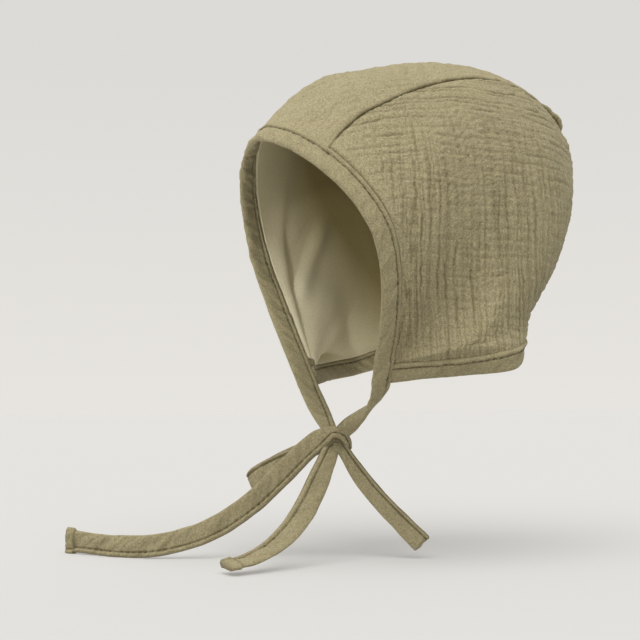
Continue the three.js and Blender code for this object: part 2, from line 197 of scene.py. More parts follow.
makeCamera()
bpy.context.scene.view_settings.view_transform = "Standard"
makeWorld()
makeFloor()
makeLamps()
print("camera and studio made")

# Smooth random values, the same in every run


def shuffled(i, j, seed):
    with np.errstate(over="ignore"):
        h = (i.astype(np.int64) * 374761393 + j.astype(np.int64) * 668265263 + seed * 974634777) & 0x7FFFFFFF
        h = ((h ^ (h >> 13)) * 1274126177) & 0x7FFFFFFF
        h = ((h ^ (h >> 11)) * 1103515245) & 0x7FFFFFFF
    return (h ^ (h >> 15)) / float(0x7FFFFFFF) * 2 - 1


def drift(x, y, seed):
    # smooth value noise from -1 to 1
    x, y = np.broadcast_arrays(np.asarray(x, float), np.asarray(y, float))
    i, j = np.floor(x), np.floor(y)
    fx, fy = x - i, y - j
    sx, sy = fx * fx * fx * (fx * (fx * 6 - 15) + 10), fy * fy * fy * (fy * (fy * 6 - 15) + 10)
    low = shuffled(i, j, seed) * (1 - sx) + shuffled(i + 1, j, seed) * sx
    high = shuffled(i, j + 1, seed) * (1 - sx) + shuffled(i + 1, j + 1, seed) * sx
    return low * (1 - sy) + high * sy


def ease(x, low, high):
    t = np.clip((x - low) / (high - low), 0, 1)
    return t * t * (3 - 2 * t)


def bump(x, centre, width):
    return np.exp(-(((x - centre) / width) ** 2))


# Canopy shape: ribs fan out from the two jaw corners, in planes through both corners

canopy = {
    "jawDrop": 142.0,
    "jawForward": 50.0,
    "jawHalfGap": 34.0,
    "reach": 160.0,
    "halfWidth": 62.0,
    "stripHalf": 36.0,
    "wall": 1.0,
    "cornerShare": 0.13,
    "mitre": 16.0,
    "faceFlare": 5.0,
    "neckFlare": -11.0,
    "ribSteps": 320,
}

# lean, rise, wide, widest, arch, bow and strip of each rib from the face edge to the neck edge
ribRows = {
    "lean": (68, 83, 94, 120, 137, 158, 167),
    "rise": (0.711, 0.821, 0.861, 1.007, 0.968, 0.602, 0.488),
    "wide": (0.867, 0.895, 0.953, 0.984, 1.000, 1.010, 1.015),
    "widest": (0.51, 0.50, 0.47, 0.46, 0.40, 0.32, 0.51),
    "arch": (1.23, 1.18, 1.01, 0.89, 0.88, 0.96, 1.02),
    "bow": (-0.053, -0.012, 0.012, 0.014, 0.001, -0.004, -0.021),
    "strip": (0.92, 1.01, 1.08, 0.98, 0.88, 0.85, 0.82),
}


def follow(values, t):
    values = np.asarray(values, float)
    count = len(values)
    x = np.clip(t, 0, 1) * (count - 1)
    i = np.minimum(np.floor(x).astype(int), count - 2)
    longer = np.concatenate([[2 * values[0] - values[1]], values, [2 * values[-1] - values[-2]]])
    p, q, r, s = longer[i], longer[i + 1], longer[i + 2], longer[i + 3]
    f = x - i
    return 0.5 * (2 * q + (r - p) * f + (2 * p - 5 * q + 4 * r - s) * f * f + (3 * q - p - 3 * r + s) * f**3)


def ribsAt(a):
    # points of the left half ribs, from the jaw corner to the middle, and their running lengths
    a = np.atleast_1d(np.asarray(a, float))[:, None]
    get = {name: follow(row, a) for name, row in ribRows.items()}
    lean = np.radians(get["lean"])
    rise = get["rise"] * canopy["reach"]
    wide = get["wide"] * canopy["halfWidth"]
    widest, arch = get["widest"], get["arch"]
    bow = get["bow"] * canopy["reach"]
    turn = np.linspace(0, 1, canopy["ribSteps"] + 1)[None, :] * math.pi - math.pi / 2
    low = turn < 0
    sine = np.maximum(np.sin(turn), 0)
    cosine = np.abs(np.cos(turn))
    up = np.where(low, widest * (1 + turn / (math.pi / 2)), widest + (1 - widest) * sine**arch)
    gap = canopy["jawHalfGap"]
    x = np.where(low, gap + (wide - gap) * cosine, wide * cosine**arch)
    x[:, -1] = 0
    bulge = bow * np.sin(math.pi * up)
    y = -canopy["jawForward"] - np.cos(lean) * rise * up - bulge * np.sin(lean)
    z = -canopy["jawDrop"] + np.sin(lean) * rise * up - bulge * np.cos(lean)
    points = np.stack([x, y, z], axis=-1)
    steps = lengths(np.diff(points, axis=1))
    run = np.concatenate([np.zeros((len(points), 1)), np.cumsum(steps, axis=1)], axis=1)
    return {"points": points, "run": run, "strip": (get["strip"] * canopy["stripHalf"])[:, 0]}


def alongRibs(ribs, q):
    # points at shares q of the half length, one row of q for each rib
    out = np.empty(q.shape + (3,))
    for i in range(len(q)):
        want = np.clip(q[i], 0, 1) * ribs["run"][i, -1]
        for k in range(3):
            out[i, :, k] = np.interp(want, ribs["run"][i], ribs["points"][i, :, k])
    return out


def seamShare(ribs):
    # share of each rib's half length where the centre panel's seam runs
    out = []
    for points, run, strip in zip(ribs["points"], ribs["run"], ribs["strip"]):
        half = len(points) // 2
        order = np.argsort(points[half:, 0])
        out.append(np.interp(strip, points[half:, 0][order], run[half:][order]) / run[-1])
    t = np.linspace(0, 1, len(out))
    wave = 0.55 * drift(t * 15, 0.5, 77)
    return np.array(out) + wave / ribs["run"][:, -1]


def lengths(v, **keep):
    return np.linalg.norm(v, axis=-1, **keep)


def dot(a, b):
    return np.sum(a * b, axis=-1, keepdims=True)


def unit(v):
    return v / np.maximum(lengths(v, keepdims=True), 1e-9)


def leftShare(q):
    # shares over 1 count down again on the right side
    return np.where(q > 1, 2 - q, q)


def canopySurface(a, q):
    # points and outward normals for rows a and shares q (0 to 2, over 1 on the right side)
    probe = 0.004
    a = np.asarray(a, float)
    right, left = q > 1, leftShare(q)
    here = ribsAt(a)
    points = alongRibs(here, left)
    inner = np.clip(left, canopy["cornerShare"], 1 - probe)
    after, before = ribsAt(np.minimum(a + probe, 1)), ribsAt(np.maximum(a - probe, 0))
    back = alongRibs(after, inner) - alongRibs(before, inner)
    up = alongRibs(here, inner + probe) - alongRibs(here, inner - probe)
    normals = unit(np.cross(back, up))
    middle = ease(left, 1 - 6 * probe, 1 - probe)
    normals[..., 0] *= 1 - middle
    normals = unit(normals)
    for v in (points, normals):
        v[..., 0] *= np.where(right, -1.0, 1.0)
    return points, normals


def turned(v, axis, angle):
    # v turned about unit axes by the angle, row by row
    c, s = math.cos(angle), math.sin(angle)
    return v * c + np.cross(axis, v) * s + axis * dot(v, axis) * (1 - c)


def edgeFrames(edge, q):
    # frames along the face edge (0) or the neck edge (1): point, out, up and along
    probe = 0.004
    q = np.atleast_1d(np.asarray(q, float))
    right, left = q > 1, leftShare(q)[None, :]
    rib = ribsAt([float(edge)])
    inside = ribsAt([probe if edge == 0 else 1 - probe])
    length = rib["run"][0, -1]
    safe = np.clip(left, canopy["cornerShare"], 1 - probe)
    along = unit(alongRibs(rib, safe + probe) - alongRibs(rib, safe - probe))[0]
    crown = ease(left[0], 1 - 8 * probe, 1 - probe)[:, None]
    along = unit(along * (1 - crown) + np.array([-1.0, 0, 0]) * crown)
    out = (alongRibs(rib, safe) - alongRibs(inside, safe))[0]
    out = unit(out - along * dot(out, along))
    flare = canopy["faceFlare"] if edge == 0 else -canopy["neckFlare"]
    out = turned(out, along, math.radians(flare))
    if edge == 1:
        corner = edgeFrames(0, [0.0])["along"][0]
        square = ease(left[0] * length, 0, canopy["mitre"])[:, None]
        out = unit(out * square - corner * (1 - square))
    up = unit(np.cross(along, out) if edge == 0 else np.cross(out, along))
    points = alongRibs(rib, left)[0]
    below = np.minimum(left[0], 0)[:, None]
    points += along * below * length
    sign = np.where(right, -1.0, 1.0)
    for v in (points, out, up):
        v[:, 0] *= sign
    along = along * sign[:, None]
    along[:, 0] *= sign
    return {"points": points, "out": out, "up": up, "along": along, "length": length}


# Mesh helpers


def signedVolume(mesh):
    mesh.calc_loop_triangles()
    corners = np.empty(len(mesh.loop_triangles) * 3, dtype=np.int32)
    mesh.loop_triangles.foreach_get("vertices", corners)
    points = np.empty(len(mesh.vertices) * 3)
    mesh.vertices.foreach_get("co", points)
    t = points.reshape(-1, 3)[corners.reshape(-1, 3)]
    return np.sum(t[:, 0] * np.cross(t[:, 1], t[:, 2]))


def closedMesh(name, points, faces, material, uv, shade):
    mesh = bpy.data.meshes.new(name)
    mesh.from_pydata((points * mm).tolist(), [], faces)
    mesh.materials.append(material)
    layer = mesh.uv_layers.new(name="cloth")
    index = np.empty(len(mesh.loops), dtype=np.int32)
    mesh.loops.foreach_get("vertex_index", index)
    layer.data.foreach_set("uv", uv[index].ravel())
    mark = mesh.attributes.new("shade", "FLOAT", "POINT")
    mark.data.foreach_set("value", shade)
    mesh.polygons.foreach_set("use_smooth", [True] * len(mesh.polygons))
    mesh.update()
    if signedVolume(mesh) < 0:
        mesh.flip_normals()
    return addObject(name, mesh)


def clothSlab(name, outer, inner, uv, shade, material, step=4):
    # closed cloth: a fine outer grid and an inner grid that keeps every few rows and columns
    rows, cols = outer.shape[:2]
    coarse = inner[::step, ::step]
    cRows, cCols = coarse.shape[:2]
    base = rows * cols
    points = np.concatenate([outer.reshape(-1, 3), coarse.reshape(-1, 3)])
    uvAll = np.concatenate([uv.reshape(-1, 2), uv[::step, ::step].reshape(-1, 2)])
    shadeAll = np.concatenate([shade.ravel(), np.zeros(cRows * cCols)])
    fine = np.arange(base).reshape(rows, cols)
    rough = base + np.arange(cRows * cCols).reshape(cRows, cCols)
    faces = quads(fine[:-1, :-1], fine[:-1, 1:], fine[1:, 1:], fine[1:, :-1])
    faces += quads(rough[:-1, :-1], rough[1:, :-1], rough[1:, 1:], rough[:-1, 1:])
    half = step // 2
    for edge, back in ((fine[0], rough[0]), (fine[:, -1], rough[:, -1]),
                       (fine[-1][::-1], rough[-1][::-1]), (fine[:, 0][::-1], rough[:, 0][::-1])):
        edge, back = edge.tolist(), back.tolist()
        for n in range(len(back) - 1):
            part = edge[n * step:(n + 1) * step + 1]
            for m in range(step):
                faces.append([part[m + 1], part[m], back[n] if m < half else back[n + 1]])
            faces.append([part[half], back[n], back[n + 1]])
    return closedMesh(name, points, faces, material, uvAll, shadeAll)


def quads(a, b, c, d):
    return np.stack([a.ravel(), b.ravel(), c.ravel(), d.ravel()], axis=1).tolist()


def stripMesh(name, sections, uv, shade, material):
    # skin through closed sections with the same number of points, capped at both ends
    count, around = sections.shape[:2]
    k = np.arange(count * around).reshape(count, around)
    beside = np.roll(k, -1, axis=1)
    faces = quads(k[:-1], beside[:-1], beside[1:], k[1:])
    points = sections.reshape(-1, 3)
    ends = [sections[0].mean(axis=0), sections[-1].mean(axis=0)]
    points = np.concatenate([points, ends])
    first, last = count * around, count * around + 1
    for j in range(around):
        faces.append([first, int(beside[0, j]), int(k[0, j])])
        faces.append([last, int(k[-1, j]), int(beside[-1, j])])
    uvAll = np.concatenate([uv.reshape(-1, 2), [uv[0, 0], uv[-1, 0]]])
    shadeAll = np.concatenate([shade.ravel(), [shade[0].mean(), shade[-1].mean()]])
    return closedMesh(name, points, faces, material, uvAll, shadeAll)


# Cloth materials

# deep is the colour that each piece's shade attribute mixes in where shade is painted: grooves, seams,
# creases and joins between parts
looks = {
    "gauze": {
        "base": (0.348, 0.305, 0.182), "deep": (0.120, 0.096, 0.040),
        "speckle": 0.22, "weave": 0.75, "grain": 0.30},
    # the lining's pale base and its deep colour are mixed by its shade attribute into painted light and
    # shade
    "lining": {
        "base": (0.74, 0.675, 0.47), "deep": (0.262, 0.214, 0.092),
        "speckle": 0.06, "weave": 0.5, "grain": 0.12},
    "binding": {
        "base": (0.318, 0.277, 0.162), "deep": (0.110, 0.088, 0.038),
        "speckle": 0.20, "weave": 0.6, "grain": 0.34},
}
threadLook = {
    "base": (0.130, 0.108, 0.055), "deep": (0.1, 0.08, 0.04),
    "speckle": 0.05, "weave": 0.1, "grain": 0.1}

clothShader = {
    "Roughness": 0.93,
    "Specular IOR Level": 0.15,
    "Sheen Weight": 0.22,
    "Sheen Roughness": 0.45,
    "Sheen Tint": (0.86, 0.82, 0.66, 1),
}
yarnEvery = 0.8  # mm from one yarn to the next


def clothMaterial(name, look):
    material = bpy.data.materials.new(name)
    material.use_nodes = True
    tree = material.node_tree
    wire, link = wired(tree), tree.links.new
    shader = tree.nodes["Principled BSDF"]
    setInputs(shader, clothShader)
    place = addNode(tree, "ShaderNodeTexCoord")
    cloth = addNode(tree, "ShaderNodeUVMap", {"uv_map": "cloth"})

    def noise(scale, detail):
        made = addNode(tree, "ShaderNodeTexNoise", None, {"Scale": scale, "Detail": detail})
        wire(place, "Object", made, "Vector")
        return made.outputs["Fac"]

    def combined(kind, a, b):
        made = addNode(tree, "ShaderNodeMath", {"operation": kind})
        for socket, value in zip(made.inputs, (a, b)):
            if isinstance(value, (int, float)):
                socket.default_value = value
            else:
                link(value, socket)
        return made.outputs[0]

    def mapped(value, low, high):
        made = addNode(tree, "ShaderNodeMapRange", None, {
            "From Min": 0.3, "From Max": 0.7, "To Min": low, "To Max": high})
        link(value, made.inputs["Value"])
        return made.outputs["Result"]

    def bumped(strength, distance, height):
        made = addNode(tree, "ShaderNodeBump", None, {"Strength": strength, "Distance": distance})
        link(height, made.inputs["Height"])
        return made

    # yarn: two crossed waves along the cloth's own directions, broken up by noise
    split = addNode(tree, "ShaderNodeSeparateXYZ")
    wire(cloth, "UV", split, 0)
    wobble = noise(220.0, 1.0)
    yarns = []
    for axis in (0, 1):
        shifted = combined("ADD", split.outputs[axis], combined("MULTIPLY", wobble, 0.012))
        yarns.append(combined("SINE", combined("MULTIPLY", shifted, 2 * math.pi * 100 / yarnEvery), 0.0))
    weave = combined("MULTIPLY", combined("ADD", yarns[0], yarns[1]), 0.25)
    fuzz = noise(2600.0, 2.0)
    slub = noise(1250.0, 2.0)

    # colour: darker where the shade attribute says, mottled by slubs and fuzz
    mark = addNode(tree, "ShaderNodeAttribute", {"attribute_name": "shade"})
    mix = addNode(tree, "ShaderNodeMix", {"data_type": "RGBA"}, {
        "A": (*look["base"], 1), "B": (*look["deep"], 1)})
    wire(mark, "Fac", mix, "Factor")
    low, high = 1 - look["speckle"], 1 + look["speckle"]
    value = combined("MULTIPLY", mapped(slub, low, high), mapped(fuzz, low, high))
    value = combined("MULTIPLY", value, mapped(noise(28.0, 2.0), 0.96, 1.04))
    tone = addNode(tree, "ShaderNodeHueSaturation")
    link(value, tone.inputs["Value"])
    wire(mix, "Result", tone, "Color")
    wire(tone, "Color", shader, "Base Color")

    # relief: slubs and fuzz, then yarn
    coarse = bumped(look["grain"] * 2, 0.0005, combined("ADD", slub, combined("MULTIPLY", fuzz, 0.6)))
    fine = bumped(look["weave"] * 0.5, 0.00012, weave)
    wire(coarse, "Normal", fine, "Normal")
    wire(fine, "Normal", shader, "Normal")
    return material


materials = {name: clothMaterial(name + "Cloth", look) for name, look in looks.items()}
materials["thread"] = clothMaterial("threadCotton", threadLook)
print("materials made")

# Crinkle of the gauze, as heights in mm over cloth coordinates in mm, with painted shade in its grooves

crinkle = {
    "uprightEvery": 3.9,
    "levelEvery": 4.4,
    "wander": 0.8,
    "grooveWidth": 0.58,
    "uprightDepth": 0.86,
    "levelDepth": 0.80,
    "pillow": 0.26,
    "seed": 11,
}


def grooves(across, along, every, loose, thin, seed):
    # narrow valleys between soft pillows, from 0 to 1 at the bottom, along wandering lines;
    # loose and thin are shares of the crinkle's wander and groove width
    wander, width = crinkle["wander"] * loose, crinkle["grooveWidth"] * thin
    seed = crinkle["seed"] + seed
    total = np.zeros_like(across)
    nearest = np.floor(across / every)
    for step in (-1, 0, 1, 2):
        k = nearest + step
        line = (k + 0.26 * shuffled(k, k * 0, seed)) * every
        line += wander * drift(along / 15, k * 1.7, seed + 1)
        line += 0.6 * wander * drift(along / 4.2, k * 2.3, seed + 2)
        strength = 0.74 + 0.42 * drift(along / 12, k * 1.3, seed + 3)
        far = np.abs(across - line)
        valley = 0.62 * np.exp(-((far / width) ** 2)) + 0.38 * np.exp(-far / (width * 2.4))
        total = np.maximum(total, np.clip(strength, 0, 1) * valley)
    return total


def gauzeHeights(u, v, upright, level):
    # upright and level weight the two sets of grooves
    c = crinkle
    uu = u + 1.3 * drift(u / 30, v / 30, c["seed"]) + 0.35 * drift(u / 7, v / 9, c["seed"] + 1)
    vv = v + 1.3 * drift(u / 28, v / 28, c["seed"] + 2) + 0.35 * drift(u / 9, v / 7, c["seed"] + 3)
    main = grooves(uu, vv, c["uprightEvery"], 1.0, 1.0, 10)
    small = grooves(uu + 2.7, vv, c["uprightEvery"] * 0.47, 0.5, 0.72, 20)
    cross = grooves(vv, uu, c["levelEvery"], 1.0, 1.0, 30)
    fine = grooves(vv + 1.9, uu, c["levelEvery"] * 0.5, 0.5, 0.75, 40)
    up = np.maximum(main, 0.65 * small) * upright
    across = np.maximum(cross, 0.45 * fine) * level
    height = -c["uprightDepth"] * up - c["levelDepth"] * across
    pillows = drift(u / 1.6, v / 2.1, c["seed"] + 50) + 0.6 * drift(u / 1.1, v / 1.2, 63)
    height += c["pillow"] * pillows
    # painted shade: darker in the grooves
    shade = np.clip(0.85 * np.maximum(up, across) - 0.12, 0, 1)
    return height, shade


# Panels

panels = {
    "rows": 272,
    "sideColumns": 320,
    "stripColumns": 112,
    "hiddenRows": 4,
    "hiddenDeep": 6.5,
    "cornerRound": 0.6,
    "seamGap": 0.12,
    "seamDeep": 0.6,
    "seamWide": 0.5,
    # strength of the painted shade along the seams
    "seamShading": 0.8,
    "snugWithin": 6.0,
    "reliefFloor": 0.8,
    "floorSoftness": 0.12,
}

# the centre strip's seam allowance stands up as a roll, then sinks beside the raised side panel
rearRoll = {
    "high": 2.1,
    "rise": (0.540, 0.600),
    "fall": (0.609, 0.619),
    "sunk": -1.0,
    "sunkFrom": (0.612, 0.626),
    "sideRaised": 1.0,
    "sideFrom": (0.612, 0.64),
    "until": (0.90, 1.0),
}

# side, a, q, spread over a, spread over q and depth of the soft folds
softFolds = (
    (1, 0.86, 0.30, 0.10, 0.10, -2.0),
    (1, 0.62, 0.72, 0.07, 0.10, -1.2),
)


def foldPush(a, q):
    push = np.zeros_like(q)
    left = leftShare(q)
    side = np.where(q > 1, -1, 1)
    free = ease(np.minimum(a, 1 - a), 0, 0.12)
    for where, fa, fq, wa, wq, deep in softFolds:
        push += (side == where) * free * deep * bump(a, fa, wa) * bump(left, fq, wq)
    return push


def panelSurface(shares):
    # points, normals, rows and shares of a panel with the rows that the bindings hide;
    # shares gives a row's q values from its ribs
    a = np.linspace(0, 1, panels["rows"] + 1)
    ribs = ribsAt(a)
    q = shares(ribs)
    points, normals = canopySurface(a, q)
    deep = np.linspace(panels["hiddenDeep"], 0, panels["hiddenRows"] + 1)[:-1]
    top, bottom = edgeFrames(0, q[0]), edgeFrames(1, q[-1])
    first = [top["points"] + top["out"] * d for d in deep]
    last = [bottom["points"] + bottom["out"] * d for d in deep[::-1]]
    points = np.concatenate([first, points, last])

    def extended(before, rows, after):
        return np.concatenate([[before] * len(deep), rows, [after] * len(deep)])

    normals = extended(top["up"], normals, bottom["up"])
    a, q = extended(0.0, a, 1.0), extended(q[0], q, q[-1])
    long = ribs["run"][:, -1]
    long = extended(long[0], long, long[-1])
    return points, normals, np.broadcast_to(a[:, None], q.shape), q, long[:, None]


def snugness(points):
    # 0 at the face and neck edges, 1 a little way inside them
    rows = panels["hiddenRows"]
    face, neck = lengths(points - points[rows]), lengths(points - points[-1 - rows])
    return ease(np.minimum(face, neck), 0.0, panels["snugWithin"])


def kept(relief):
    # relief that stays above the cloth's own inner side
    low, soft = panels["reliefFloor"], panels["floorSoftness"]
    return soft * np.logaddexp(0, (relief + low) / soft) - low


def seamOpen(a):
    # the seam's groove closes towards the face edge
    return ease(a, 0.0, 0.08)


# painted shade along the seam's groove
def seamShade(fromSeam, a):
    return panels["seamShading"] * bump(fromSeam, 0, 0.5) * (0.35 + 0.65 * seamOpen(a))


def puckers(along, fromSeam, wide, high, seed):
    return drift(along / 4.4, fromSeam / 30, seed) * bump(fromSeam, 0, wide) * high


def between(a, start, end):
    return ease(a, *start) * (1 - ease(a, *end))


def rowRun(points):
    # distance along the rows' direction, averaged over the columns
    steps = lengths(np.diff(points, axis=0)).mean(axis=1)
    return np.concatenate([[0], np.cumsum(steps)])[:, None]


def sidePanel(side):
    def shares(ribs):
        long = ribs["run"][:, -1]
        last = seamShare(ribs) - panels["seamGap"] / long
        t = np.linspace(0, 1, panels["sideColumns"] + 1)[None, :]
        first = (panels["cornerRound"] / long)[:, None]
        left = first + (last[:, None] - first) * t
        return left if side > 0 else 2 - left[:, ::-1]

    points, normals, a, q, long = panelSurface(shares)
    left = leftShare(q)
    fromSeam = (left.max(axis=1, keepdims=True) - left) * long
    inward = canopy["halfWidth"] - np.abs(points[..., 0])
    tilt = unit(normals[..., 1:])
    lean = 1 - np.abs(normals[..., 0])
    above = ease(points[..., 2], -128, -80)
    behind = np.maximum(above, ease(points[..., 1], 5, 35))
    u = points[..., 1] + inward * (tilt[..., 0] * lean * behind - 0.62 * (1 - behind))
    v = points[..., 2] + inward * tilt[..., 1] * lean * above
    if side < 0:
        u, v = u + 400, v + 300
    high = ease(left, 0.42, 0.80)
    upright = 1.0 - 0.50 * high
    level = 0.42 + 0.65 * high
    calm = 0.45 + 0.55 * ease(a, 0.0, 0.16)
    height, shade = gauzeHeights(u, v, upright * calm, level * calm)
    broad = 0.5 * drift(u / 21, v / 26, 71) + 0.2 * drift(u / 9, v / 15, 72)
    edge = ease(np.minimum(a, 1 - a), 0, 0.05) * ease(fromSeam, 0, 6)
    height += broad * edge
    neckPucker = drift(u / 5.2, v / 30, 74) * bump(1 - a, 0, 0.055) * 0.5
    height += puckers(a * 160, fromSeam, 5.5, 0.35, 73) + neckPucker + 0.42
    raised = rearRoll["sideRaised"] * bump(fromSeam, 3, 4)
    height += raised * between(a, rearRoll["sideFrom"], rearRoll["until"])
    height -= panels["seamDeep"] * bump(fromSeam, 0, panels["seamWide"]) * seamOpen(a)
    # painted shade: the crinkle's grooves, the seam, and a thin dark line along the face edge where the
    # binding meets the panel
    shade = np.clip(shade * 0.85 + seamShade(fromSeam, a) + 0.7 * bump(a, 0, 0.007), 0, 1)
    push = foldPush(a, q) * snugness(points)
    height = kept(height) * (0.3 + 0.7 * snugness(points)) + push
    outer = points + normals * height[..., None]
    inner = points + normals * (push - canopy["wall"])[..., None]
    uv = np.stack([u, v], axis=-1) / 100
    name = "sideGauzeLeft" if side > 0 else "sideGauzeRight"
    return clothSlab(name, outer, inner, uv, shade, materials["gauze"])


def centrePanel():
    def shares(ribs):
        long = ribs["run"][:, -1]
        first = (seamShare(ribs) + panels["seamGap"] / long)[:, None]
        t = np.linspace(0, 1, panels["stripColumns"] + 1)[None, :]
        return first + (2 - 2 * first) * t

    points, normals, a, q, long = panelSurface(shares)
    run = rowRun(points)
    across = (q - 1) * long
    half = np.abs(across).max(axis=1, keepdims=True)
    fromSeam = half - np.abs(across)
    u, v = across, run + 0 * across
    ends = ease(a, 0.0, 0.35)
    height, shade = gauzeHeights(u * 0.9 + v * 0.28 + 900, v * 0.55 - u * 0.2 + 500,
                                 0.34 + 0.10 * ends, 0.16 + 0.34 * ends)
    height += 0.55 * drift(u / 14, v / 40, 81) * ease(fromSeam, 0, 6)
    gather = drift(u / 4.2, v / 26, 82) * bump(a, 0.02, 0.10) * 0.55
    roll = rearRoll["high"] * between(a, rearRoll["rise"], rearRoll["fall"]) * bump(fromSeam, 2.2, 2.6)
    sunk = rearRoll["sunk"] * between(a, rearRoll["sunkFrom"], rearRoll["until"])
    roll += sunk * (1 - 0.6 * ease(fromSeam, 4, 16))
    height += gather + puckers(v, fromSeam, 5, 0.30, 83) + roll + 0.5 * bump(fromSeam, 2.2, 2.0)
    height -= (panels["seamDeep"] + 0.3) * bump(fromSeam, 0, panels["seamWide"]) * seamOpen(a)
    # painted shade in the crinkle's grooves and along the seam
    shade = np.clip(shade * 0.7 + seamShade(fromSeam, a), 0, 1)
    height = kept(height + 0.2) * (0.3 + 0.7 * snugness(points))
    outer = points + normals * height[..., None]
    inner = points - normals * canopy["wall"]
    uv = np.stack([u, v], axis=-1) / 100
    return clothSlab("centreGauze", outer, inner, uv, shade, materials["gauze"])


def finishPiece(made, slot, *nodes):
    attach(made, "root")
    if nodes:
        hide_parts(*nodes)
    return made


sideLeft = finishPiece(sidePanel(1), "gauze", "side_panel_left")
sideRight = finishPiece(sidePanel(-1), "gauze", "side_panel_right")
centre = finishPiece(centrePanel(), "gauze", "centre_panel")
print("gauze panels made")

# Lining: smooth, with broad soft folds that stand inwards

liningShape = {
    "rows": 124,
    "columns": 320,
    "corner": 4.0,
    "clear": 0.3,
    "wall": 1.0,
    "foldHigh": 0.7,
}

# the fold that shows on the far cheek, a hollow with a swell behind it: a point on it in y and z,
# its direction, then depth, place and width across it
cheekFold = {
    "at": (-35.8, -71.0),
    "way": (-0.44, -0.897),
    "hollow": (1.1, 0.0, 3.4),
    "swell": (2.3, 7.0, 4.6),
}


def makeLining():
    a = np.linspace(0, 1, liningShape["rows"] + 1)
    ribs = ribsAt(a)
    long = ribs["run"][:, -1][:, None]
    first = liningShape["corner"] / long
    q = first + (2 - 2 * first) * np.linspace(0, 1, liningShape["columns"] + 1)[None, :]
    points, normals = canopySurface(a, q)
    rows = np.broadcast_to(a[:, None], q.shape)
    across = (q - 1) * long
    run = rowRun(points) + 0 * across
    push = foldPush(rows, q)
    edge = ease(np.minimum(rows, 1 - rows), 0.0, 0.12) * ease(np.minimum(q, 2 - q) * long, 6, 34)
    y, z = points[..., 1], points[..., 2]
    folds = 0.5 + 0.5 * drift((z + 0.55 * y) / 19, (y - 0.5 * z + points[..., 0] * 0.3) / 44, 91)
    folds += 0.22 * drift((y + 0.3 * z) / 10, (z - 0.3 * y) / 26, 92)
    fromY, fromZ = y - cheekFold["at"][0], z - cheekFold["at"][1]
    wayY, wayZ = cheekFold["way"]
    along = fromY * wayY + fromZ * wayZ
    beside = fromZ * wayY - fromY * wayZ
    part = ease(along, -14, 6) * (1 - ease(along, 30, 46)) * ease(-points[..., 0], 5, 25)
    swell, hollow = (deep * bump(beside, place, wide) for deep, place, wide in (
        cheekFold["swell"], cheekFold["hollow"]))
    crease = part * ease(rows, 0.03, 0.30) * (swell - hollow)
    broad = ease(np.minimum(rows, 1 - rows), 0.0, 0.30) * ease(np.minimum(q, 2 - q) * long, 10, 60)
    inward = liningShape["foldHigh"] * folds * broad + np.maximum(crease, -0.8 * folds * broad) * edge
    outer = canopy["wall"] + liningShape["clear"]
    face = push - outer - liningShape["wall"] - inward
    back = push - outer
    inner = points + normals * face[..., None]
    behind = points + normals * back[..., None]
    uv = np.stack([across, run], axis=-1) / 100
    # painted light and shade for the light through the cloth, which isn't modelled: paler towards the
    # cheeks' front edge, darker back and up into the crown, a little paler where folds stand in
    shade = np.clip(0.72 * (y + 50) / 40 + 0.6 * (z + 110) / 40 - 0.15 - 0.1 * folds * edge, 0, 1)
    return clothSlab("liningCloth", inner, behind, uv, shade, materials["lining"])


lining = finishPiece(makeLining(), "lining", "lining")
print("lining made")

# Straps and bindings: sections across a path of frames

strapShape = {
    "step": 0.8,
    "sectionPoints": 37,
    "stitchIn": 2.6,
    "grooveDeep": 0.70,
    "grooveWide": 0.36,
    "ridgeHigh": 0.50,
    "pucker": 0.32,
    "diagonal": 0.36,
    # strength of the painted shade along the stitched edge and in the stitch groove
    "lineShade": 0.75,
    "edgeWave": 0.16,
    "hem": 0.0,
    "hemWide": 0.20,
    "hemThick": 0.45,
    # strength of the painted shade along the hem's fold
    "hemShade": 0.7,
    "plainStart": 0.0,
}


def runOf(points):
    # running length along a row of points
    return np.concatenate([[0], np.cumsum(lengths(np.diff(points, axis=0)))])


def crownAt(t):
    # a strap's rounded section, from 1 in the middle to 0 at its edges
    return (1 - np.abs(t) ** 3.2) ** (1 / 2.2)


